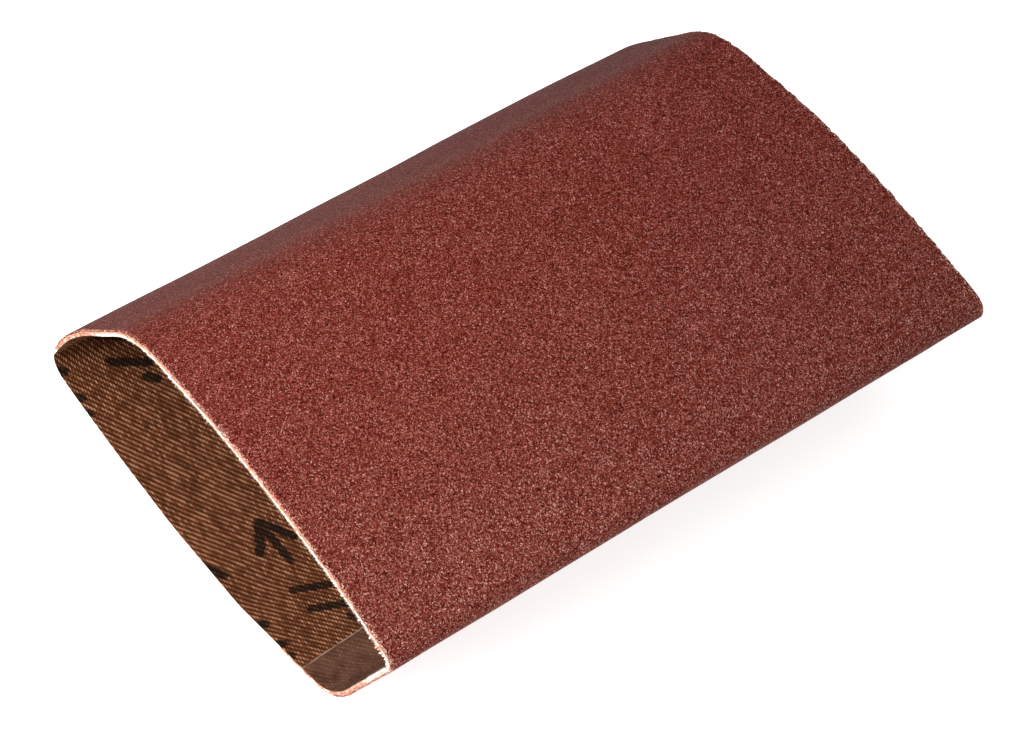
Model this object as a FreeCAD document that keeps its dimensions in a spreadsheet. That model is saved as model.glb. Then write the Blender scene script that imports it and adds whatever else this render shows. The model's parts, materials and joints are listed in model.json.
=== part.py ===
import FreeCAD, Part
import math
import os
import Sketcher

from FreeCAD import Placement, Rotation, Vector

# Abrasive sleeve for a hand sanding block: a strip of coated twill cloth bent into a loop, its two
# ends butted together on a skew and held by a film tape inside.
# +Y runs along the sleeve, from one mouth to the other, +X across it towards the creased side, +Z up.
# The sleeve lies on its wide side. The origin is on the floor, under the middle of its box.

doc = FreeCAD.newDocument("sanding_sleeve")

# ---------------------------------------------------------------- driving dimensions, millimetres
sheet = doc.addObject("Spreadsheet::Sheet", "dimensions")

DIMENSIONS = {
    "sleeve_length": 100.0,
    "cloth_thickness": 0.5,
    "make_thickness": 0.1,
    "grain_thickness": 0.2,
    "size_thickness": 0.1,
    "adhesive_thickness": 0.08,
    "tape_thickness": 0.12,
    "tape_width": 25.0,
    "joint_gap": 0.15,
    "joint_arc": 30.6,
    "joint_skew": 7.5,
}

# Corners of the polygon round which the cloth's inner face runs, anticlockwise seen from the near
# mouth: name, place across (X), height (Z) and radius of the bend.
CORNERS = [
    ("rest_left", -12.0, 0.9, 40.0),
    ("rest_right", 5.5, 0.9, 15.0),
    ("floor_rise", 14.0, 2.6, 130.0),
    ("lower_bend", 27.0, 5.4, 8.0),
    ("lower_side", 31.8, 10.2, 25.0),
    ("crease", 43.8, 30.6, 1.4),
    ("crown", 19.2, 39.3, 130.0),
    ("shoulder", -14.5, 38.7, 20.0),
    ("slope", -35.6, 20.4, 69.0),
    ("round_bend", -44.9, 6.7, 2.8),
    ("floor_left", -30.0, 3.2, 180.0),
]

for name, across, height, radius in CORNERS:
    DIMENSIONS[name + "_across"] = across
    DIMENSIONS[name + "_height"] = height
    DIMENSIONS[name + "_radius"] = radius

for row, (alias, value) in enumerate(DIMENSIONS.items(), start=1):
    sheet.set(f"A{row}", alias)
    sheet.set(f"B{row}", str(value))
    sheet.setAlias(f"B{row}", alias)
doc.recompute()


def cell(alias):
    """A driving dimension, read back from the sheet."""
    return float(getattr(sheet, alias))


# ---------------------------------------------------------------- the section's inner line
def tangent_chain(corners):
    """For each corner: the bend's centre, its radius and its first and last point."""
    points = [Vector(across, height, 0) for _, across, height, _ in corners]
    bends = []
    for index, (_, _, _, radius) in enumerate(corners):
        corner = points[index]
        back = (points[index - 1] - corner).normalize()
        ahead = (points[(index + 1) % len(points)] - corner).normalize()
        half_angle = back.getAngle(ahead) / 2
        setback = radius / math.tan(half_angle)
        centre = corner + (back + ahead).normalize() * (radius / math.sin(half_angle))
        bends.append((centre, radius, corner + back * setback, corner + ahead * setback))
    return points, bends


def draw_section():
    """The closed line of straight runs and tangent bends along the cloth's inner face."""
    sketch = doc.addObject("Sketcher::SketchObject", "inner_line")
    sketch.Placement = Placement(Vector(), Rotation(Vector(1, 0, 0), 90))
    points, bends = tangent_chain(CORNERS)
    count = len(bends)
    axis = Vector(0, 0, 1)
    arcs, runs = [], []
    for centre, radius, first, last in bends:
        start = math.atan2(first.y - centre.y, first.x - centre.x)
        end = math.atan2(last.y - centre.y, last.x - centre.x)
        circle = Part.Circle(centre, axis, radius)
        arcs.append(sketch.addGeometry(Part.ArcOfCircle(circle, start, end), False))
    for index in range(count):
        run = Part.LineSegment(bends[index][3], bends[(index + 1) % count][2])
        runs.append(sketch.addGeometry(run, False))
    marks = [sketch.addGeometry(Part.Point(point), True) for point in points]

    start_point, end_point, origin = 1, 2, -1
    rule = Sketcher.Constraint
    for index, (name, across, height, radius) in enumerate(CORNERS):
        following = (index + 1) % count
        sketch.addConstraint(rule("Tangent", arcs[index], end_point, runs[index], start_point))
        sketch.addConstraint(rule("Tangent", runs[index], end_point, arcs[following], start_point))
        sketch.addConstraint(rule("PointOnObject", marks[index], start_point, runs[index]))
        sketch.addConstraint(rule("PointOnObject", marks[index], start_point, runs[index - 1]))
        sizes = {
            "radius": rule("Radius", arcs[index], radius),
            "across": rule("DistanceX", origin, start_point, marks[index], start_point, across),
            "height": rule("DistanceY", origin, start_point, marks[index], start_point, height),
        }
        for size, constraint in sizes.items():
            number = sketch.addConstraint(constraint)
            sketch.renameConstraint(number, f"{name}_{size}")
            sketch.setExpression(f"Constraints.{name}_{size}", f"dimensions.{name}_{size}")
    return sketch


inner_line = draw_section()
doc.recompute()


# ---------------------------------------------------------------- layers round the section
def filled_tube(name, offset):
    """The sleeve filled solid out to a distance from the cloth's inner face; inwards is negative."""
    line = inner_line
    if offset:
        line = doc.addObject("Part::Offset2D", name + "_line")
        line.Source = inner_line
        line.Mode = "Pipe"
        line.Join = "Arc"
        line.setExpression("Value", offset)
    tube = doc.addObject("Part::Extrusion", name)
    tube.Base = line
    tube.DirMode = "Custom"
    tube.Dir = Vector(0, 1, 0)
    tube.Solid = True
    tube.Symmetric = True
    tube.setExpression("LengthFwd", "dimensions.sleeve_length")
    return tube


def cut(name, base, tool):
    """Base with the tool taken away."""
    feature = doc.addObject("Part::Cut", name)
    feature.Base = base
    feature.Tool = tool
    return feature


def depth(*layers, sign=""):
    """An expression for the summed thickness of the named layers."""
    return sign + "(" + " + ".join(f"dimensions.{layer}_thickness" for layer in layers) + ")"


inside = filled_tube("inside_face", "")
cloth_out = filled_tube("cloth_face", depth("cloth"))
make_out = filled_tube("make_face", depth("cloth", "make"))
grain_out = filled_tube("grain_face", depth("cloth", "make", "grain"))
size_out = filled_tube("size_face", depth("cloth", "make", "grain", "size"))
adhesive_in = filled_tube("adhesive_face", depth("adhesive", sign="-"))
tape_in = filled_tube("tape_face", depth("adhesive", "tape", sign="-"))
doc.recompute()


# ---------------------------------------------------------------- the joint and the tape's ends
def station(arc):
    """Point and outward direction on the inner line, at an arc length past the resting stretch."""
    _, bends = tangent_chain(CORNERS)
    names = [corner[0] for corner in CORNERS]
    index = names.index("rest_right")
    while True:
        centre, radius, first, last = bends[index]
        index = (index + 1) % len(bends)
        spoke = first - centre
        bend_length = radius * spoke.getAngle(last - centre)
        if arc <= bend_length:
            outward = Rotation(Vector(0, 0, 1), math.degrees(arc / radius)).multVec(spoke).normalize()
            return centre + outward * radius, outward
        arc -= bend_length
        run = bends[index][2] - last
        if arc <= run.Length:
            along = Vector(run).normalize()
            return last + along * arc, Vector(along.y, -along.x, 0)
        arc -= run.Length


def off_wall(arc, distance):
    """A point off the inner line at an arc length; a positive distance is outwards."""
    point, outward = station(arc)
    return point + outward * distance


def skew_block(name, outline):
    """A block through the wall along the sleeve, moved round by the skew from mouth to mouth.

    The outline lists the arc length and the distance off the inner line of each of its corners.
    """
    overshoot = 1.02
    profiles = []
    for mouth, share in (("near", 0.5 - 0.5 * overshoot), ("far", 0.5 + 0.5 * overshoot)):
        level = (share - 0.5) * cell("sleeve_length")
        moved = share * cell("joint_skew")
        corners = [off_wall(arc - moved, distance) for arc, distance in outline]
        profile = doc.addObject("Part::Polygon", f"{name}_{mouth}")
        profile.Nodes = [Vector(corner.x, level, corner.y) for corner in corners]
        profile.Close = True
        profiles.append(profile)
    block = doc.addObject("Part::Loft", name)
    block.Sections = profiles
    block.Solid = True
    block.Ruled = True
    return block


joint = cell("joint_arc")
half_gap = cell("joint_gap") / 2
half_tape = cell("tape_width") / 2
reach_in, reach_out, reach_round = 2.0, 4.0, 6.0

joint_blade = skew_block("joint_blade", [
    (joint - half_gap, -reach_in), (joint - half_gap, reach_out),
    (joint + half_gap, reach_out), (joint + half_gap, -reach_in)])
tape_window = skew_block("tape_window", [
    (joint - half_tape, -reach_in), (joint - half_tape, reach_out), (joint, reach_round),
    (joint + half_tape, reach_out), (joint + half_tape, -reach_in)])


# ---------------------------------------------------------------- the pieces
def strip_layer(label, outer, inner):
    """One layer of the strip: the space between two faces, open at the joint."""
    loop = cut(label + "_loop", outer, inner)
    layer = cut(label, loop, joint_blade)
    layer.Label = label
    return layer


def tape_layer(label, outer, inner):
    """One layer of the tape: the space between two faces, kept only across the joint."""
    loop = cut(label + "_loop", outer, inner)
    layer = doc.addObject("Part::Common", label)
    layer.Base = loop
    layer.Tool = tape_window
    layer.Label = label
    return layer


pieces = [
    strip_layer("backing_cloth", cloth_out, inside),
    strip_layer("make_coat", make_out, cloth_out),
    strip_layer("abrasive_grain", grain_out, make_out),
    strip_layer("size_coat", size_out, grain_out),
    tape_layer("splice_adhesive", inside, adhesive_in),
    tape_layer("splice_tape", adhesive_in, tape_in),
]
doc.recompute()


# ---------------------------------------------------------------- check and write
for item in doc.Objects:
    if "Invalid" in item.State or "Error" in item.State:
        raise RuntimeError(f"{item.Name} did not rebuild: {item.State}")

for piece in pieces:
    shape = piece.Shape
    if shape.isNull() or not shape.isValid() or len(shape.Solids) != 1:
        raise RuntimeError(f"{piece.Label} is not one valid solid")

os.makedirs("parts", exist_ok=True)
for piece in pieces:
    piece.Shape.exportStep(f"parts/{piece.Label}.step")
    box = piece.Shape.optimalBoundingBox()
    print(f"{piece.Label}: {piece.Shape.Volume:.1f} mm3, "
          f"X {box.XMin:.2f} to {box.XMax:.2f}, Z {box.ZMin:.2f} to {box.ZMax:.2f}")
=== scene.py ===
import json
import math

import bpy
import numpy as np
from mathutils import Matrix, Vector


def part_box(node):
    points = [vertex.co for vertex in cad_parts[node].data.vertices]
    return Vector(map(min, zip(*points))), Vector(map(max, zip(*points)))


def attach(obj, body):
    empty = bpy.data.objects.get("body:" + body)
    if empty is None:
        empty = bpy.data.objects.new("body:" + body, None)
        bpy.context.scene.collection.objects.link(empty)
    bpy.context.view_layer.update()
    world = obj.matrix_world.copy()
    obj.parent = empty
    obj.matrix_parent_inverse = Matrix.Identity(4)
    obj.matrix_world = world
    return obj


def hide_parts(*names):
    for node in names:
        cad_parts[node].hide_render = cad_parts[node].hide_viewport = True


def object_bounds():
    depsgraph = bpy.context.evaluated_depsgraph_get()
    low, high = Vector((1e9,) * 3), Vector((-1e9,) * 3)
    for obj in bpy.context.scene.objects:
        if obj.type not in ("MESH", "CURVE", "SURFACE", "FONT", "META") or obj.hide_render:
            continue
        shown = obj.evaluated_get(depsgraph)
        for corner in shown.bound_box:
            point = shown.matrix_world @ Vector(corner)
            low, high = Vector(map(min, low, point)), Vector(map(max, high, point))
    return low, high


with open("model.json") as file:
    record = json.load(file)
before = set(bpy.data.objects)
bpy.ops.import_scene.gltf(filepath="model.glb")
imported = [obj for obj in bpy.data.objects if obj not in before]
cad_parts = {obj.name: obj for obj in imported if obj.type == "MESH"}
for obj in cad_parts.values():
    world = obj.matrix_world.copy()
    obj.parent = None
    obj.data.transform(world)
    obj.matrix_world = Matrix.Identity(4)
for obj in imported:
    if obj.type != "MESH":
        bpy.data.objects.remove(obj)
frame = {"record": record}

# An abrasive sleeve for a hand sanding block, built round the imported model. Metres, Z up.
# The wall is described by three numbers: the arc length round the cloth's inner face from the end of
# the resting stretch, the place along the sleeve, and the distance outwards from the inner face.

cad_low, cad_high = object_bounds()
MM = 0.001
BODY = frame["record"].get("behaviour", {}).get("root", "root")

# ------------------------------------------------------------------------------- driving dimensions
NEAR_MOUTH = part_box("backing_cloth")[0][1]
FAR_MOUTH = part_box("backing_cloth")[1][1]
SLEEVE_LENGTH = FAR_MOUTH - NEAR_MOUTH


def layer_step(outer, inner):
    """Thickness of a layer, from how much wider its box is than the one inside it."""
    (low_a, high_a), (low_b, high_b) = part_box(outer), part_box(inner)
    return ((high_a[0] - low_a[0]) - (high_b[0] - low_b[0])) / 2


MAKE_THICK = layer_step("make_coat", "backing_cloth")
GRIT_THICK = layer_step("size_coat", "make_coat")
WALL_THICK = 0.9 * MM
CLOTH_THICK = WALL_THICK - MAKE_THICK - GRIT_THICK

# Corners of the polygon round the cloth's inner face: across, height, radius of the bend.
CORNERS = np.array([
    (-12.0, 0.9, 40.0), (5.5, 0.9, 15.0), (14.0, 2.6, 130.0), (27.0, 5.4, 8.0), (31.8, 10.2, 25.0),
    (43.8, 30.6, 1.4), (19.2, 39.3, 130.0), (-14.5, 38.7, 20.0), (-35.6, 20.4, 69.0),
    (-44.9, 6.7, 2.8), (-30.0, 3.2, 180.0)]) * MM
ARC_START = 1

JOINT_ARC = 30.6 * MM
JOINT_SKEW = 7.5 * MM
JOINT_GAP = 0.15 * MM
TAPE_WIDTH = 25.0 * MM

# A 2/1 twill: warp yarns run round the sleeve, weft yarns along it.
WARP_PITCH = 0.267 * MM
WEFT_PITCH = 0.485 * MM


# ------------------------------------------------------------------------------- the section
def section_table(step=0.02 * MM):
    """Closely spaced points of the inner line with outward directions and arc lengths."""
    points, outwards = [], []
    count = len(CORNERS)
    for index in range(ARC_START, ARC_START + count):
        centre, first, last, radius = bend(index % count)
        turn = math.atan2(cross(first - centre, last - centre), np.dot(first - centre, last - centre))
        for share in np.linspace(0, 1, max(3, int(radius * turn / step))):
            spoke = rotate(first - centre, turn * share)
            points.append(centre + spoke)
            outwards.append(spoke / radius)
    points, outwards = np.array(points), np.array(outwards)
    gaps = np.linalg.norm(np.diff(np.vstack([points, points[:1]]), axis=0), axis=1)
    arcs = np.concatenate([[0], np.cumsum(gaps)])
    return np.vstack([points, points[:1]]), np.vstack([outwards, outwards[:1]]), arcs


def cross(a, b):
    return a[0] * b[1] - a[1] * b[0]


def rotate(v, angle):
    c, s = math.cos(angle), math.sin(angle)
    return np.array([c * v[0] - s * v[1], s * v[0] + c * v[1]])


def bend(index):
    """Centre, first point, last point and radius of a corner's bend."""
    corner = CORNERS[index, :2]
    radius = CORNERS[index, 2]
    back = CORNERS[index - 1, :2] - corner
    ahead = CORNERS[(index + 1) % len(CORNERS), :2] - corner
    back /= np.linalg.norm(back)
    ahead /= np.linalg.norm(ahead)
    half = math.acos(np.clip(np.dot(back, ahead), -1, 1)) / 2
    middle = (back + ahead) / np.linalg.norm(back + ahead)
    setback = radius / math.tan(half)
    centre = corner + middle * radius / math.sin(half)
    return centre, corner + back * setback, corner + ahead * setback, radius


LINE, OUTWARD, ARCS = section_table()
GIRTH = ARCS[-1]


def noise(x, y, cell_x, cell_y, seed, period_x=None):
    """Smooth noise from -1 to 1 with the given cell sizes; it can repeat in x."""
    columns = max(2, round(period_x / cell_x)) if period_x else 512
    u = x / (period_x / columns) if period_x else x / cell_x
    v = y / cell_y
    lattice = np.random.default_rng(seed).uniform(-1, 1, (columns, 512))
    i, j = np.floor(u).astype(int), np.floor(v).astype(int)
    a, b = u - i, v - j
    a, b = a * a * (3 - 2 * a), b * b * (3 - 2 * b)
    value = 0
    for di, wa in ((0, 1 - a), (1, a)):
        for dj, wb in ((0, 1 - b), (1, b)):
            value = value + wa * wb * lattice[(i + di) % columns, (j + dj) % 512]
    return value


def wall(arc, along, out):
    """Positions from arc length, place along the sleeve and distance out, as an array of points."""
    arc, along, out = np.broadcast_arrays(arc, along, out)
    s = np.mod(arc, GIRTH)
    x = np.interp(s, ARCS, LINE[:, 0])
    z = np.interp(s, ARCS, LINE[:, 1])
    nx = np.interp(s, ARCS, OUTWARD[:, 0])
    nz = np.interp(s, ARCS, OUTWARD[:, 1])
    # slow hand-made unevenness that all layers share; the resting stretch stays flat
    lift = np.clip((z - 2 * MM) / (12 * MM), 0, 1)
    wave = 0.16 * MM * noise(s, along - NEAR_MOUTH, 17 * MM, 26 * MM, 3, GIRTH) * lift
    wave = wave + 0.07 * MM * noise(s, along - NEAR_MOUTH, 6 * MM, 11 * MM, 4, GIRTH) * lift
    # the shoulder swells a little towards the far mouth
    towards_far = np.clip((along - 20 * MM) / (30 * MM), 0, 1) ** 2
    bulge = np.exp(-((x + 15 * MM) / (7 * MM)) ** 2) * (z > 25 * MM) * towards_far
    d = out + wave + 0.4 * MM * bulge
    return np.stack([x + nx * d, along, z + nz * d], axis=-1)


def joint_arc(along):
    """Arc length of the joint at a place along the sleeve."""
    return JOINT_ARC - JOINT_SKEW * (along - NEAR_MOUTH) / SLEEVE_LENGTH


# ------------------------------------------------------------------------------- meshes
def make_object(name, points, faces):
    """A smooth-shaded mesh object in the scene."""
    mesh = bpy.data.meshes.new(name)
    mesh.from_pydata(points.reshape(-1, 3).tolist(), [], faces)
    mesh.validate()
    mesh.polygons.foreach_set("use_smooth", [True] * len(mesh.polygons))
    mesh.update()
    piece = bpy.data.objects.new(name, mesh)
    bpy.context.scene.collection.objects.link(piece)
    return piece


def quads(index):
    """Quads of a grid of vertex numbers."""
    a, b, c, d = index[:-1, :-1], index[:-1, 1:], index[1:, 1:], index[1:, :-1]
    return np.stack([a, b, c, d], axis=-1).reshape(-1, 4).tolist()


def shell(name, face, back, back_rows, flip=False):
    """A closed strip: a detailed face, a plainer back, and the four edges between them.

    Each row of the back lies behind the row of the face that back_rows gives.
    """
    rows, columns = face.shape[:2]
    face_index = np.arange(rows * columns).reshape(rows, columns)
    back_index = rows * columns + np.arange(back.shape[0] * columns).reshape(-1, columns)
    faces = quads(face_index)
    faces += quads(back_index[::-1])
    faces += quads(np.stack([back_index[0], face_index[0]]))
    faces += quads(np.stack([face_index[-1], back_index[-1]]))
    for side, order in ((0, 1), (-1, -1)):
        for part, (first, last) in enumerate(zip(back_rows[:-1], back_rows[1:])):
            rim = face_index[first:last + 1, side].tolist() + back_index[part:part + 2, side].tolist()[::-1]
            faces.append(rim[::order])
    if flip:
        faces = [f[::-1] for f in faces]
    return make_object(name, np.concatenate([face.reshape(-1, 3), back.reshape(-1, 3)]), faces)


def add_weave_map(piece, arc, along):
    """Stores arc length and place along, in yarn pitches, as the UV map that the weave follows."""
    mesh = piece.data
    values = np.zeros((len(mesh.vertices), 2))
    count = arc.size
    values[:count, 0] = arc.ravel() / WEFT_PITCH
    values[:count, 1] = (along.ravel() - NEAR_MOUTH) / WARP_PITCH
    layer = mesh.uv_layers.new(name="weave")
    corners = np.empty(len(mesh.loops), dtype=np.int32)
    mesh.loops.foreach_get("vertex_index", corners)
    layer.data.foreach_set("uv", values[corners].ravel())


def spread_rows(rows, count=48):
    """Evenly spread row numbers of a grid, with its first and last row."""
    return np.unique(np.linspace(0, rows - 1, count).astype(int))


def strip_grid(rows_along, columns):
    """Arc and along values of a grid over the strip, from one side of the joint round to the other."""
    share = np.linspace(0, 1, columns)[None, :]
    along = rows_along[:, None] + 0 * share
    begin = joint_arc(along) + JOINT_GAP / 2
    arc = begin + share * (GIRTH - JOINT_GAP)
    return arc, along


def twill_height(arc, along):
    """Height of the yarns over the cloth's face, from 0 in the gaps to 1 on a float's crown."""
    u, v = arc / WEFT_PITCH, (along - NEAR_MOUTH) / WARP_PITCH
    warp = np.floor(v)
    across = np.cos(math.pi * (v - warp - 0.5))
    phase = np.mod((u - warp) / 3, 1)
    over = phase < 2 / 3
    crown = np.where(over, np.sin(math.pi * phase * 1.5), 0)
    weft = np.where(over, 0, np.sin(math.pi * (phase - 2 / 3) * 3))
    return np.clip(across * (0.25 * over + 0.75 * crown) + 0.35 * weft, 0, 1)


# ------------------------------------------------------------------------------- node helpers
class Nodes:
    """Short calls for building one material's node tree."""

    def __init__(self, name):
        self.material = bpy.data.materials.new(name)
        self.material.use_nodes = True
        self.tree = self.material.node_tree
        self.shader = self.tree.nodes["Principled BSDF"]

    def new(self, kind, **settings):
        node = self.tree.nodes.new(kind)
        for key, value in settings.items():
            setattr(node, key, value)
        return node

    def link(self, source, target):
        if hasattr(source, "links"):
            self.tree.links.new(source, target)
        else:
            target.default_value = source

    def maths(self, operation, first, second=0.0, third=0.0, clamp=False):
        node = self.new("ShaderNodeMath", operation=operation, use_clamp=clamp)
        for value, socket in zip((first, second, third), node.inputs):
            self.link(value, socket)
        return node.outputs[0]

    def vector(self, operation, first, second=(0, 0, 0), scale=None):
        node = self.new("ShaderNodeVectorMath", operation=operation)
        self.link(first, node.inputs[0])
        self.link(second, node.inputs[1])
        if scale is not None:
            self.link(scale, node.inputs[3])
        single = operation in ("DOT_PRODUCT", "LENGTH", "DISTANCE")
        return node.outputs[1 if single else 0]

    def xyz(self, place):
        node = self.new("ShaderNodeSeparateXYZ")
        self.link(place, node.inputs[0])
        return tuple(node.outputs)

    def join(self, x, y):
        node = self.new("ShaderNodeCombineXYZ")
        self.link(x, node.inputs[0])
        self.link(y, node.inputs[1])
        return node.outputs[0]

    def rise(self, value, start, end):
        """0 at the start and 1 at the end, straight between them and held beyond them."""
        return self.maths("DIVIDE", self.maths("SUBTRACT", value, start), end - start, clamp=True)

    def noise(self, place, scale, detail=2.0, roughness=0.5):
        node = self.new("ShaderNodeTexNoise")
        node.inputs["Scale"].default_value = scale
        node.inputs["Detail"].default_value = detail
        node.inputs["Roughness"].default_value = roughness
        self.link(place, node.inputs["Vector"])
        return node.outputs["Fac"]

    def channel(self, colour, index=0):
        node = self.new("ShaderNodeSeparateColor")
        self.link(colour, node.inputs[0])
        return node.outputs[index]

    def voronoi(self, place, scale):
        node = self.new("ShaderNodeTexVoronoi")
        node.inputs["Scale"].default_value = scale
        self.link(place, node.inputs["Vector"])
        return node

    def ramp(self, factor, *stops):
        node = self.new("ShaderNodeValToRGB")
        elements = node.color_ramp.elements
        while len(elements) < len(stops):
            elements.new(0.5)
        for element, (position, colour) in zip(elements, stops):
            element.position = position
            element.color = (*colour, 1)
        self.link(factor, node.inputs[0])
        return node.outputs[0]

    def mix(self, factor, first, second, blend="MIX"):
        node = self.new("ShaderNodeMix", data_type="RGBA", blend_type=blend)
        self.link(factor, node.inputs[0])
        for value, socket in ((first, node.inputs[6]), (second, node.inputs[7])):
            if isinstance(value, tuple):
                socket.default_value = (*value, 1)
            else:
                self.link(value, socket)
        return node.outputs[2]

    def place(self):
        return self.new("ShaderNodeTexCoord").outputs["Object"]

    def bump(self, height, distance, strength):
        node = self.new("ShaderNodeBump")
        node.inputs["Distance"].default_value = distance
        node.inputs["Strength"].default_value = strength
        self.link(height, node.inputs["Height"])
        return node.outputs[0]

    def set(self, **values):
        for key, value in values.items():
            socket = self.shader.inputs[key.replace("_", " ")]
            if isinstance(value, tuple):
                socket.default_value = (*value, 1)
            else:
                self.link(value, socket)


def rgb(red, green, blue):
    """A linear colour from 8-bit display values."""
    def linear(value):
        value /= 255
        return value / 12.92 if value <= 0.04045 else ((value + 0.055) / 1.055) ** 2.4
    return linear(red), linear(green), linear(blue)


# ------------------------------------------------------------------------------- materials
def grit_material():
    """Red-brown resin over crushed grain: every grain has its own tone, the edges are dusty, and painted
    sheen and painted shade lie over the coat.
    """
    n = Nodes("red_brown_grit")
    place = n.place()
    grains = n.voronoi(place, 1 / (0.16 * MM))
    fine = n.voronoi(place, 1 / (0.1 * MM))
    tone = n.maths("MULTIPLY_ADD", n.channel(grains.outputs["Color"]), 0.6,
                   n.maths("MULTIPLY", n.channel(fine.outputs["Color"]), 0.4))
    colour = n.ramp(tone, (0.08, rgb(24, 4, 2)), (0.3, rgb(74, 18, 12)), (0.5, rgb(103, 35, 26)),
                    (0.7, rgb(132, 60, 49)), (0.85, rgb(160, 96, 86)), (0.95, rgb(200, 150, 140)))
    # painted sheen and painted shade over the coat, with slow random patches
    colour = painted_light_and_patches(n, place, colour)
    patches = n.noise(place, 1 / (1.2 * MM), 2.0, 0.5)
    near = n.maths("MULTIPLY", mouth_fade(n, 0.1 * MM, 0.6 * MM), n.maths("SUBTRACT", patches, 0.25))
    dusty = n.maths("LESS_THAN", n.channel(fine.outputs["Color"], 1), near)
    colour = n.mix(n.maths("MULTIPLY", dusty, 0.85), colour, n.ramp(
        n.channel(grains.outputs["Color"], 2), (0.2, rgb(226, 152, 124)), (0.8, rgb(252, 228, 210))))
    n.set(Base_Color=colour, Roughness=0.6, Specular_IOR_Level=0.03)
    height = n.maths("ADD", n.maths("MULTIPLY", grains.outputs["Distance"], -1.0),
                     n.maths("MULTIPLY", fine.outputs["Distance"], -0.5))
    n.set(Normal=n.bump(height, 0.07 * MM, 1.0))
    return n.material


def painted_light_and_patches(n, place, colour):
    """Tints the coat: painted sheen towards the crease, painted shade at the far end, painted light at the
    near end, painted shade on the slope, and slow random patches.
    """
    across, along, _ = n.xyz(place)
    broad = n.noise(place, 1 / (22 * MM), 3.0, 0.55)
    streaks = n.noise(n.vector("MULTIPLY", place, (1.0, 0.1, 1.0)), 1 / (3 * MM), 3.0, 0.6)
    uneven = n.maths("ADD", n.maths("MULTIPLY", broad, 1.3), n.maths("MULTIPLY", streaks, 0.3))
    # the first four tints are painted light: a lighter, pinker painted sheen towards the crease, painted
    # shade darker towards the far end, painted light lighter towards the near end and painted shade darker
    # down the slope; the last is slow random patches
    tints = [
        (n.rise(across, 8 * MM, 44 * MM), (1.06, 1.3, 1.34)),
        (n.rise(along, -15 * MM, 50 * MM), (0.78, 0.78, 0.8)),
        (n.rise(along, -15 * MM, -45 * MM), (1.05, 1.05, 1.05)),
        (n.rise(across, -11 * MM, -25 * MM), (0.68, 0.57, 0.54)),
        (n.maths("SUBTRACT", uneven, 0.45, clamp=True), (1.1, 1.25, 1.28)),
    ]
    for share, tint in tints:
        colour = n.mix(1.0, colour, n.mix(share, (1.0, 1.0, 1.0), tint), "MULTIPLY")
    return colour


def mouth_fade(n, full, none):
    """1 within a distance of either mouth, fading to 0 at a larger one."""
    _, along, _ = n.xyz(n.place())
    inside = n.maths("SUBTRACT", SLEEVE_LENGTH / 2, n.maths("ABSOLUTE", along))
    return n.rise(inside, none, full)


def resin_material():
    """The bared first coat: salmon resin with pale dust and chips of the red coat."""
    n = Nodes("salmon_resin")
    place = n.place()
    lumps = n.noise(place, 1 / (0.35 * MM), 4.0, 0.65)
    colour = n.ramp(lumps, (0.3, rgb(168, 84, 66)), (0.47, rgb(222, 140, 112)), (0.62, rgb(246, 190, 160)),
                    (0.8, rgb(250, 222, 202)))
    n.set(Base_Color=colour, Roughness=0.7, Specular_IOR_Level=0.3)
    n.set(Normal=n.bump(lumps, 0.08 * MM, 0.7))
    return n.material


def stroke(n, place, start, end, half_width):
    """1 on a straight ink stroke between two points, fading to 0 past its half width."""
    span = (end[0] - start[0], end[1] - start[1], 0)
    offset = n.vector("SUBTRACT", place, (start[0], start[1], 0))
    share = n.maths("DIVIDE", n.vector("DOT_PRODUCT", offset, span), span[0] ** 2 + span[1] ** 2, clamp=True)
    nearest = n.vector("SCALE", span, scale=share)
    away = n.vector("DISTANCE", offset, nearest)
    edge = 0.18 * half_width + 0.08
    return n.rise(away, half_width + edge / 2, half_width - edge / 2)


# The marks repeat round the sleeve and along it. Lengths in mm, from the middle of one repeat.
MARK_REPEAT = (53.6, 11.7)
MARK_OFFSET = (24.6, 7.55)
# Strokes of one mark: start, end, half the width.
MARK_STROKES = [
    ((-11.4, 0.3), (-6.2, 2.9), 0.7), ((-11.4, 0.3), (-6.4, -2.6), 0.7), ((-11.4, 0.3), (-2.8, 0.1), 0.6),
    ((2.0, -2.6), (5.0, 2.4), 0.75), ((7.0, -2.6), (10.0, 2.4), 0.75), ((12.0, 0.8), (12.8, 1.6), 0.85),
]


def repeated(n, value, repeat, shift):
    """A length turned into the distance from the middle of its repeat."""
    wrapped = n.maths("MODULO", n.maths("ADD", value, shift), repeat)
    return n.maths("SUBTRACT", wrapped, repeat / 2)


def ink_mask(n, weave):
    """Rows of plain ink marks on the back of the cloth: an arrow, two slanted bars and a dot."""
    u, v, _ = n.xyz(weave)
    arc = n.maths("MULTIPLY", u, WEFT_PITCH / MM)
    along = n.maths("MULTIPLY", v, WARP_PITCH / MM)
    wobble = n.new("ShaderNodeTexNoise", noise_dimensions="2D")
    n.link(weave, wobble.inputs["Vector"])
    wobble.inputs["Scale"].default_value = 0.6
    shake = n.maths("MULTIPLY", n.maths("SUBTRACT", wobble.outputs["Fac"], 0.5), 0.9)
    # whole repeats are added to keep the wrapped values positive
    column = repeated(n, arc, MARK_REPEAT[0], 8 * MARK_REPEAT[0] + MARK_OFFSET[0] - GIRTH / MM)
    row = repeated(n, along, MARK_REPEAT[1], 5 * MARK_REPEAT[1] + MARK_OFFSET[1])
    place = n.join(n.maths("ADD", column, shake), n.maths("ADD", row, shake))
    marks = [stroke(n, place, *each) for each in MARK_STROKES]
    total = marks[0]
    for mark in marks[1:]:
        total = n.maths("MAXIMUM", total, mark)
    return total


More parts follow.
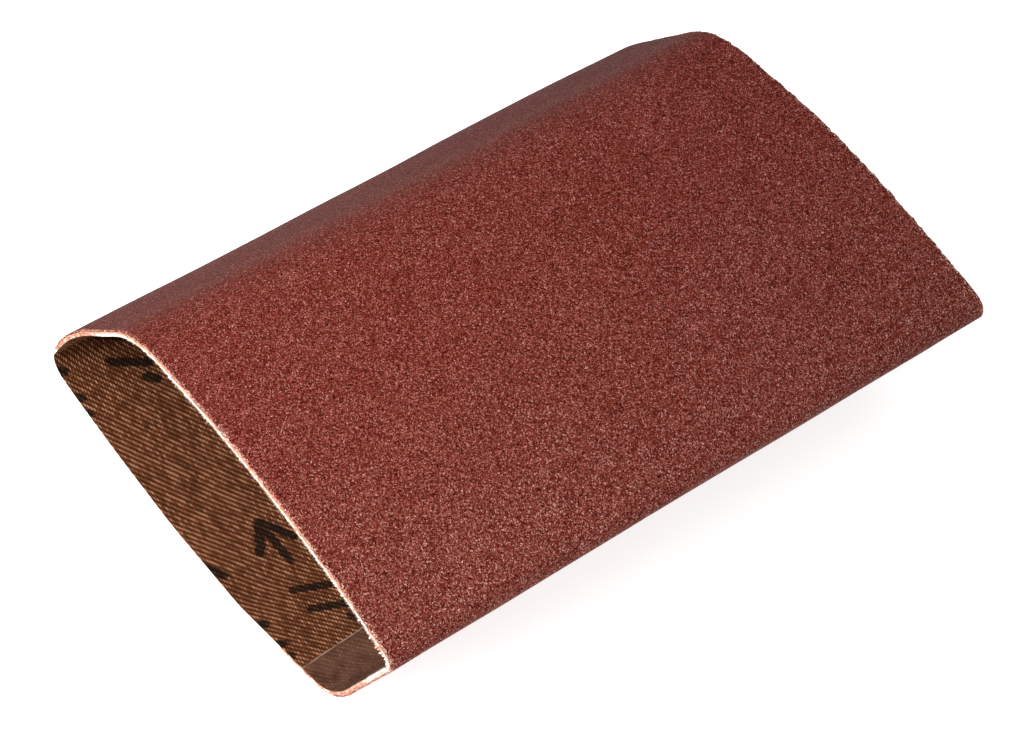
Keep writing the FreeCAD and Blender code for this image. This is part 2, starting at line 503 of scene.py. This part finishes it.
def yarn_height(n, u, v, warp):
    """The same height as twill_height, as nodes, and the number of the float along its warp yarn."""
    off_middle = n.maths("SUBTRACT", n.maths("SUBTRACT", v, warp), 0.5)
    across = n.maths("COSINE", n.maths("MULTIPLY", off_middle, math.pi))
    turns = n.maths("ADD", n.maths("DIVIDE", n.maths("SUBTRACT", u, warp), 3.0), 4000.0)
    phase = n.maths("FRACT", turns)
    over = n.maths("LESS_THAN", phase, 2 / 3)
    crown = n.maths("MULTIPLY", over, n.maths("SINE", n.maths("MULTIPLY", phase, 1.5 * math.pi)))
    swell = n.maths("SINE", n.maths("MULTIPLY", n.maths("SUBTRACT", phase, 2 / 3), 3 * math.pi))
    weft = n.maths("MULTIPLY", n.maths("SUBTRACT", 1.0, over), swell)
    float_top = n.maths("ADD", n.maths("MULTIPLY", over, 0.25), n.maths("MULTIPLY", crown, 0.75))
    float_part = n.maths("MULTIPLY", across, float_top)
    height = n.maths("ADD", float_part, n.maths("MULTIPLY", weft, 0.35), clamp=True)
    return height, n.maths("FLOOR", turns)


def cloth_material():
    """Brown filled twill: painted highlights on the crowns, painted shade in the gaps, uneven filling and
    black ink marks.
    """
    n = Nodes("brown_twill")
    weave = n.new("ShaderNodeUVMap", uv_map="weave").outputs[0]
    u, v, _ = n.xyz(weave)
    warp = n.maths("FLOOR", v)
    height, float_number = yarn_height(n, u, v, warp)
    place = n.place()
    patchy = n.noise(place, 1 / (1.1 * MM), 3.0, 0.6)
    slow = n.noise(place, 1 / (9 * MM), 2.0, 0.5)
    own = n.new("ShaderNodeTexWhiteNoise", noise_dimensions="2D")
    n.link(n.join(warp, float_number), own.inputs["Vector"])
    uneven = n.maths("ADD", n.maths("MULTIPLY", n.maths("SUBTRACT", patchy, 0.5), 0.5),
                     n.maths("MULTIPLY", n.maths("SUBTRACT", own.outputs["Value"], 0.5), 0.4))
    uneven = n.maths("MULTIPLY", uneven, n.maths("ADD", height, 0.25))
    level = n.maths("ADD", n.maths("MULTIPLY", height, 0.85), uneven)
    # painted highlights on the yarn crowns and painted shade in the gaps, both driven by the yarn height
    colour = n.ramp(level, (0.05, rgb(36, 15, 6)), (0.3, rgb(79, 41, 21)), (0.6, rgb(132, 80, 51)),
                    (0.95, rgb(210, 158, 120)))
    colour = n.mix(n.maths("MULTIPLY", slow, 0.12), colour, rgb(120, 72, 44))
    ink = ink_mask(n, weave)
    soaked = n.maths("MULTIPLY", ink, n.maths("SUBTRACT", 0.96, n.maths("MULTIPLY", height, 0.12)))
    colour = n.mix(soaked, colour, rgb(16, 9, 6))
    n.set(Base_Color=colour, Roughness=0.82, Specular_IOR_Level=0.08)
    n.set(Normal=n.bump(height, 0.08 * MM, 0.8))
    return n.material


def cotton_material():
    """The cut cloth: bare white cotton where it has frayed, salmon where resin has soaked it."""
    n = Nodes("bare_cotton")
    place = n.place()
    across, along, height = n.xyz(place)
    low = n.rise(height, 12.5 * MM, 11.5 * MM)
    past_slope = n.rise(across, -31 * MM, -23 * MM)
    taped = n.maths("MULTIPLY", n.maths("GREATER_THAN", across, 16 * MM),
                    n.maths("LESS_THAN", height, 20.5 * MM))
    near = n.maths("LESS_THAN", along, 0.0)
    white = n.maths("MULTIPLY", n.maths("MAXIMUM", low, past_slope), n.maths("SUBTRACT", 1.0, taped))
    white = n.maths("MULTIPLY", white, near)
    dust = n.noise(place, 1 / (0.4 * MM), 4.0, 0.7)
    ends = n.channel(n.voronoi(place, 1 / (0.42 * MM)).outputs["Color"])
    dust = n.maths("ADD", n.maths("MULTIPLY", dust, 0.65), n.maths("MULTIPLY", ends, 0.35))
    bare = n.ramp(dust, (0.3, rgb(206, 132, 98)), (0.42, rgb(240, 206, 180)), (0.55, rgb(255, 250, 244)))
    soaked = n.ramp(dust, (0.3, rgb(136, 66, 44)), (0.5, rgb(206, 128, 96)), (0.68, rgb(248, 214, 190)))
    clean = n.ramp(dust, (0.3, rgb(246, 230, 216)), (0.5, rgb(255, 252, 248)))
    bare = n.mix(low, bare, clean)
    n.set(Base_Color=n.mix(white, soaked, bare), Roughness=0.9, Specular_IOR_Level=0.15)
    n.shader.inputs["Sheen Weight"].default_value = 0.2
    return n.material


def tape_material():
    """Translucent greyish film through which the twill still shows."""
    n = Nodes("grey_film")
    place = n.place()
    cloudy = n.noise(place, 1 / (2.5 * MM), 3.0, 0.6)
    colour = n.ramp(cloudy, (0.3, rgb(84, 52, 42)), (0.7, rgb(132, 92, 76)))
    n.set(Base_Color=colour, Roughness=0.5, Specular_IOR_Level=0.25)
    n.shader.inputs["Alpha"].default_value = 0.36
    n.set(Normal=n.bump(cloudy, 0.03 * MM, 0.4))
    return n.material


def adhesive_material():
    """Cloudy adhesive, squeezed out along the film's edges and into the joint."""
    n = Nodes("cloudy_adhesive")
    place = n.place()
    cloudy = n.noise(place, 1 / (0.8 * MM), 3.0, 0.6)
    colour = n.ramp(cloudy, (0.3, rgb(140, 112, 98)), (0.7, rgb(196, 176, 164)))
    n.set(Base_Color=colour, Roughness=0.5, Specular_IOR_Level=0.4)
    n.shader.inputs["Alpha"].default_value = 0.75
    return n.material


def paint(piece, *materials):
    """Gives a piece its materials, in order."""
    for material in materials:
        piece.data.materials.append(material)


# ------------------------------------------------------------------------------- the grit coat
GRIT_CELL = 0.26 * MM


def grit_coat():
    """The grain under its size coat: a rough face whose rims are chipped back from both mouths."""
    columns = int(GIRTH / GRIT_CELL) + 1
    rows = int(SLEEVE_LENGTH / GRIT_CELL) + 1
    share = np.linspace(0, 1, rows)
    arc, along = strip_grid(NEAR_MOUTH + share * SLEEVE_LENGTH, columns)
    mouth_arc = arc[0]
    near_chip = chip_depth(mouth_arc, 21)
    far_chip = chip_depth(arc[-1], 22)
    along = NEAR_MOUTH + near_chip + share[:, None] * (SLEEVE_LENGTH - near_chip - far_chip)
    rng = np.random.default_rng(7)
    grain = rng.uniform(-1, 1, arc.shape)
    clumps = noise(arc, along - NEAR_MOUTH, 0.9 * MM, 0.9 * MM, 8)
    relief = 0.018 * MM
    out = WALL_THICK + relief * (grain - 1) + 0.004 * MM * clumps
    jitter = 0.28 * GRIT_CELL
    arc = arc + jitter * rng.uniform(-1, 1, arc.shape) * edge_fade(arc.shape)
    along = along + jitter * rng.uniform(-1, 1, arc.shape) * edge_fade(arc.shape)
    face = wall(arc, along, out)
    behind = spread_rows(rows)
    back = wall(arc[behind], along[behind], CLOTH_THICK + MAKE_THICK)
    piece = shell("grit_coat", face, back, behind)
    paint(piece, grit_material())
    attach(piece, BODY)
    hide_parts("abrasive_grain", "size_coat")
    return piece


def edge_fade(shape):
    """1 inside a grid and 0 on its outermost rows and columns."""
    fade = np.ones(shape)
    fade[0] = fade[-1] = 0
    fade[:, 0] = fade[:, -1] = 0
    return fade


def underside(arc):
    """1 on the wide side that the sleeve lies on and 0 elsewhere, at places round the mouth."""
    x, _, z = np.moveaxis(wall(arc, NEAR_MOUTH, 0.0), -1, 0)
    top = np.where(x < -30 * MM, 13.5 * MM, 9 * MM)
    return np.clip((23 * MM - x) / (3 * MM), 0, 1) * np.clip((top - z) / (1.5 * MM), 0, 1)


def chip_depth(arc, seed):
    """How far the grit has broken back from the cut, at places round the mouth."""
    slow = noise(arc, 0 * arc, 7 * MM, 1, seed, GIRTH)
    quick = noise(arc, 0 * arc, 0.9 * MM, 1, seed + 50, GIRTH)
    fine = noise(arc, 0 * arc, 0.35 * MM, 1, seed + 90, GIRTH)
    depth = 0.15 + 0.07 * slow + 0.13 * quick + 0.13 * fine + 0.6 * underside(arc)
    return np.clip(depth * (1 - 0.7 * at_crease(arc, 5 * MM)), 0.04, 1.2) * MM


# ------------------------------------------------------------------------------- the bared resin
def resin_coat():
    """The first coat, which shows as a lumpy rim beyond the grit."""
    cell = 0.25 * MM
    columns = int(GIRTH / cell) + 1
    rim = np.array([0.0, 0.12, 0.25, 0.4, 0.55, 0.75, 1.0, 1.4]) * MM
    middle = np.linspace(NEAR_MOUTH + 3 * MM, FAR_MOUTH - 3 * MM, 42)
    rows_along = np.concatenate([NEAR_MOUTH + rim, middle, (FAR_MOUTH - rim)[::-1]])
    arc, along = strip_grid(rows_along, columns)
    near_edge = 0.05 * MM + 0.06 * MM * noise(arc[0], 0 * arc[0], 0.5 * MM, 1, 31, GIRTH)
    near_edge = near_edge + 0.45 * MM * underside(arc[0])
    far_edge = 0.05 * MM + 0.06 * MM * noise(arc[-1], 0 * arc[-1], 0.5 * MM, 1, 32, GIRTH)
    along[:len(rim)] += near_edge * np.linspace(1, 0, len(rim))[:, None]
    along[-len(rim):] -= far_edge * np.linspace(0, 1, len(rim))[:, None]
    rng = np.random.default_rng(33)
    lump = 0.05 * MM * rng.uniform(-1, 1, arc.shape)
    out = CLOTH_THICK + MAKE_THICK - 0.02 * MM + lump
    out[len(rim) - 1:-len(rim) + 1] = CLOTH_THICK + MAKE_THICK - 0.05 * MM
    face = wall(arc, along, out)
    back = wall(arc, along, CLOTH_THICK - 0.02 * MM)
    piece = shell("resin_rim", face, back, np.arange(len(rows_along)))
    paint(piece, resin_material())
    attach(piece, BODY)
    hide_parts("make_coat")
    return piece


# ------------------------------------------------------------------------------- the cloth
def twill_cloth():
    """The twill backing. Near the mouths every yarn float is in the mesh."""
    columns = int(GIRTH / (WEFT_PITCH / 2)) + 1
    fine = WARP_PITCH / 3
    near_rows = NEAR_MOUTH + np.arange(0, 15 * MM, fine)
    far_rows = FAR_MOUTH - np.arange(0, 5 * MM, fine)[::-1]
    middle_rows = np.linspace(near_rows[-1], far_rows[0], 42)[1:-1]
    rows_along = np.concatenate([near_rows, middle_rows, far_rows])
    arc, along = strip_grid(rows_along, columns)
    height = twill_height(arc, along)
    relief = 0.07 * MM
    in_middle = (along > near_rows[-1]) & (along < far_rows[0])
    height = np.where(in_middle, 0.5, height)
    face = wall(arc, along, relief * (0.5 - height))
    behind = spread_rows(len(rows_along), 240)
    back = wall(arc[behind], along[behind], CLOTH_THICK - 0.01 * MM)
    piece = shell("twill_backing", face, back, behind, flip=True)
    add_weave_map(piece, arc, along)
    paint(piece, cloth_material(), cotton_material())
    mark_cut_faces(piece, arc.shape, len(behind))
    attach(piece, BODY)
    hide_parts("backing_cloth")
    return piece


def mark_cut_faces(piece, shape, back_rows):
    """Gives the cut faces at both mouths the bare cotton."""
    rows, columns = shape
    first = (rows + back_rows - 2) * (columns - 1)
    materials = np.zeros(len(piece.data.polygons), dtype=np.int32)
    materials[first:] = 1
    piece.data.polygons.foreach_set("material_index", materials)


# ------------------------------------------------------------------------------- the frayed cut edge
def frayed_edge(name, mouth, outward, seed):
    """Weft yarn ends, each a splayed stub with loose fibres, all round one mouth."""
    rng = np.random.default_rng(seed)
    points, faces = [], []
    for index in range(int(GIRTH / WEFT_PITCH)):
        arc = (index + 0.5) * WEFT_PITCH + rng.normal(0, 0.05 * MM)
        loose = looseness(arc, mouth) * (1 + 1.2 * at_crease(arc, 7 * MM))
        stub_out = (rng.uniform(0.2, 0.34) - 0.6 * at_crease(arc) * rng.uniform(0.2, 1.0)) * MM
        reach = rng.uniform(0.02, 0.24) * MM * loose
        half_width = rng.uniform(0.11, 0.19) * MM
        add_tuft(points, faces, rng, arc, stub_out, mouth, outward, half_width, reach)
        for _ in range(int(rng.uniform(6, 12) * loose)):
            out = rng.uniform(0.12, 0.5) * MM
            place = arc + rng.normal(0, 0.16 * MM)
            add_fibre(points, faces, rng, place, out, mouth, outward)
    piece = make_object(name, np.array(points), faces)
    paint(piece, cotton_material())
    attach(piece, BODY)
    return piece


def at_crease(arc, reach=1.8 * MM):
    """1 at the sharp crease, where the ends bunch up inside it, fading to 0 beside it."""
    middle = ARCS[np.argmax(LINE[:, 0])]
    return np.exp(-((arc - middle) / reach) ** 2)


def looseness(arc, mouth):
    """How far the cut has frayed: most along the near mouth's top, least where tape or resin holds it."""
    x, _, z = wall(arc, mouth, 0.0)
    if mouth > 0:
        return 0.25
    if x > 14 * MM and z < 20.5 * MM:
        return 0.3
    return float(np.clip((x + 38 * MM) / (5 * MM), 0.3, 1.0))


def add_ring_tube(points, faces, path, radii, sides):
    """A closed tapered tube through local frames of (centre, side, up)."""
    first = len(points)
    for (centre, side, up), radius in zip(path, radii):
        for k in range(sides):
            angle = 2 * math.pi * k / sides
            offset = side * math.cos(angle) * radius[0] + up * math.sin(angle) * radius[1]
            points.append(centre + offset)
    rings = len(path)
    for ring in range(rings - 1):
        for k in range(sides):
            a = first + ring * sides + k
            b = first + ring * sides + (k + 1) % sides
            faces.append([a, b, b + sides, a + sides])
    faces.append([first + k for k in range(sides)][::-1])
    faces.append([first + (rings - 1) * sides + k for k in range(sides)])


def local_frame(arc, out, mouth):
    """A point of the cut face with the directions round the wall and out of it."""
    here = wall(arc, mouth, out)
    beside = wall(arc + 0.05 * MM, mouth, out)
    above = wall(arc, mouth, out + 0.05 * MM)
    round_wall = (beside - here) / np.linalg.norm(beside - here)
    out_of_wall = (above - here) / np.linalg.norm(above - here)
    return here, round_wall, out_of_wall


def add_tuft(points, faces, rng, arc, out, mouth, outward, half_width, reach):
    """The blunt end of one weft yarn."""
    here, side, up = local_frame(arc, out, mouth)
    lean = side * rng.normal(0, 0.25) + up * rng.normal(0, 0.25)
    path, radii = [], []
    for share, swell in ((-0.6, 0.9), (0.2, 1.05), (0.7, 0.85), (1.0, 0.4)):
        centre = here + (np.array([0, outward, 0]) + lean * max(share, 0)) * reach * share
        path.append((centre, side, up))
        wobble = rng.uniform(0.85, 1.15, 2)
        radii.append((half_width * swell * wobble[0], 0.75 * half_width * swell * wobble[1]))
    add_ring_tube(points, faces, path, radii, 7)


def add_fibre(points, faces, rng, arc, out, mouth, outward):
    """One loose cotton fibre that starts in the cut face and curls."""
    here, side, up = local_frame(arc, out, mouth)
    direction = np.array([0, outward, 0]) + side * rng.normal(0, 0.7) + up * rng.normal(0.35, 0.35)
    direction /= np.linalg.norm(direction)
    curl = side * rng.normal(0, 0.5) + up * rng.normal(0.2, 0.35)
    length = rng.uniform(0.15, 0.5) * MM
    thick = rng.uniform(0.018, 0.04) * MM
    path, radii = [], []
    for share in (-0.15, 0.3, 0.65, 1.0):
        centre = here + direction * length * share + curl * length * 0.4 * max(share, 0) ** 2
        path.append((centre, side, up))
        radii.append((thick * (1.1 - 0.7 * max(share, 0)),) * 2)
    add_ring_tube(points, faces, path, radii, 3)


# ------------------------------------------------------------------------------- the taped joint
def tape_grid(width):
    """Arc and along values across the joint, finely spaced in the near mouth."""
    rows_along = np.concatenate([
        NEAR_MOUTH + np.arange(0.05 * MM, 14 * MM, 0.2 * MM),
        np.linspace(NEAR_MOUTH + 14 * MM, FAR_MOUTH - 4 * MM, 60),
        FAR_MOUTH - np.arange(0.05 * MM, 4 * MM, 0.2 * MM)[::-1]])
    across = np.linspace(-0.5, 0.5, 110)[None, :]
    along = rows_along[:, None] + 0 * across
    return joint_arc(along) + across * width, along


def splice_film():
    """The film that holds the joint, following the yarns under it a little."""
    arc, along = tape_grid(TAPE_WIDTH)
    soft = 0.45 * twill_height(arc, along)
    edge = np.minimum(arc - arc[:, :1], arc[:, -1:] - arc)
    lifted = np.exp(-edge / (0.35 * MM))
    depth = 0.085 * MM + 0.05 * MM * (soft - 0.2) + 0.02 * MM * lifted
    face = wall(arc, along, -depth)
    behind = spread_rows(arc.shape[0], 70)
    back = wall(arc[behind], along[behind], -0.045 * MM)
    piece = shell("splice_film", face, back, behind, flip=True)
    paint(piece, tape_material())
    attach(piece, BODY)
    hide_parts("splice_tape")
    return piece


def adhesive_bead(name, side):
    """The pale line of adhesive along one edge of the film."""
    rows_along = np.arange(NEAR_MOUTH + 0.05 * MM, FAR_MOUTH, 0.25 * MM)
    across = np.linspace(0, 1, 7)[None, :]
    along = rows_along[:, None] + 0 * across
    ragged = 0.10 * MM + 0.06 * MM * noise(along, 0 * along, 1.2 * MM, 1, 61 + (side > 0))
    edge = joint_arc(along) + side * TAPE_WIDTH / 2
    arc = edge + side * (across - 0.35) * 2.2 * ragged
    crown = np.sin(math.pi * across) * (0.09 + 0.03 * noise(along, 0 * along, 0.8 * MM, 1, 63)) * MM
    face = wall(arc, along, -(0.03 * MM + crown))
    behind = spread_rows(arc.shape[0], 70)
    back = wall(arc[behind], along[behind], 0.02 * MM)
    piece = shell(name, face, back, behind, flip=side > 0)
    paint(piece, adhesive_material())
    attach(piece, BODY)
    return piece


def joint_filling():
    """Adhesive pressed into the slit between the strip's two ends."""
    rows_along = np.arange(NEAR_MOUTH + 0.1 * MM, FAR_MOUTH, 0.4 * MM)
    across = np.linspace(-0.5, 0.5, 3)[None, :]
    along = rows_along[:, None] + 0 * across
    soaked_in = 0.03 * MM
    arc = joint_arc(along) + across * (JOINT_GAP + 2 * soaked_in)
    ragged = 0.06 * MM * noise(along, 0 * along, 0.6 * MM, 1, 65)
    face = wall(arc, along, 0.32 * MM + ragged)
    behind = spread_rows(arc.shape[0], 100)
    back = wall(arc[behind], along[behind], -0.02 * MM)
    piece = shell("adhesive_in_joint", face, back, behind)
    paint(piece, adhesive_material())
    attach(piece, BODY)
    return piece


# ------------------------------------------------------------------------------- stage
def make_floor():
    """The plain pale floor, just under the sleeve."""
    half = 20.0
    corners = np.array([(-half, -half, 0), (half, -half, 0), (half, half, 0), (-half, half, 0)], float)
    corners[:, 2] = cad_low[2] - 0.02 * MM
    floor = make_object("floor", corners, [[0, 1, 2, 3]])
    n = Nodes("pale_floor")
    n.set(Base_Color=(0.55, 0.55, 0.55), Roughness=0.9, Specular_IOR_Level=0.1)
    n.set(Emission_Color=(1.0, 1.0, 1.0), Emission_Strength=0.8)
    paint(floor, n.material)


def add_area_light(name, place, target, size, power):
    """A square soft light that faces the target."""
    light = bpy.data.lights.new(name, "AREA")
    light.size = size
    light.energy = power
    lamp = bpy.data.objects.new(name, light)
    lamp.location = place
    lamp.rotation_euler = (Vector(target) - Vector(place)).to_track_quat("-Z", "Y").to_euler()
    bpy.context.scene.collection.objects.link(lamp)


def make_studio():
    """A pale sky, brighter overhead, and two large soft lights."""
    world = bpy.data.worlds.new("studio")
    world.use_nodes = True
    tree = world.node_tree
    split = tree.nodes.new("ShaderNodeSeparateXYZ")
    level = tree.nodes.new("ShaderNodeMapRange")
    tree.links.new(tree.nodes.new("ShaderNodeTexCoord").outputs["Generated"], split.inputs[0])
    tree.links.new(split.outputs[2], level.inputs["Value"])
    level.inputs["To Min"].default_value = 0.12
    level.inputs["To Max"].default_value = 0.62
    tree.links.new(level.outputs[0], tree.nodes["Background"].inputs["Strength"])
    tree.nodes["Background"].inputs["Color"].default_value = (1, 1, 1, 1)
    bpy.context.scene.world = world
    target = (0, 0, 0.02)
    add_area_light("overhead", (0.1, -0.45, 0.56), target, 0.5, 4.6)
    add_area_light("front", (-0.12, -0.8, 0.36), target, 0.6, 8.0)


def make_camera():
    """Looks down into the near mouth from the creased side."""
    azimuth, elevation = math.radians(53.32), math.radians(48.91)
    back = Vector((math.sin(azimuth) * math.cos(elevation), -math.cos(azimuth) * math.cos(elevation),
                   math.sin(elevation)))
    camera = bpy.data.objects.new("camera", bpy.data.cameras.new("camera"))
    camera.data.sensor_width = 36.0
    camera.data.lens = 98.18
    camera.data.clip_start = 0.01
    camera.location = Vector((213.07, -157.13, 316.07)) * MM
    camera.rotation_mode = "QUATERNION"
    camera.rotation_quaternion = (-back).to_track_quat("-Z", "Y")
    bpy.context.scene.collection.objects.link(camera)
    bpy.context.scene.camera = camera
    bpy.context.scene.view_settings.view_transform = "Standard"


# ------------------------------------------------------------------------------- build
grit_coat()
resin_coat()
cloth = twill_cloth()
near_fray = frayed_edge("near_edge_fibres", NEAR_MOUTH, -1, 41)
far_fray = frayed_edge("far_edge_fibres", FAR_MOUTH, 1, 42)
film = splice_film()
near_bead = adhesive_bead("adhesive_line_floor", -1)
far_bead = adhesive_bead("adhesive_line_side", 1)
filling = joint_filling()
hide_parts("splice_adhesive")
make_floor()
make_studio()
make_camera()
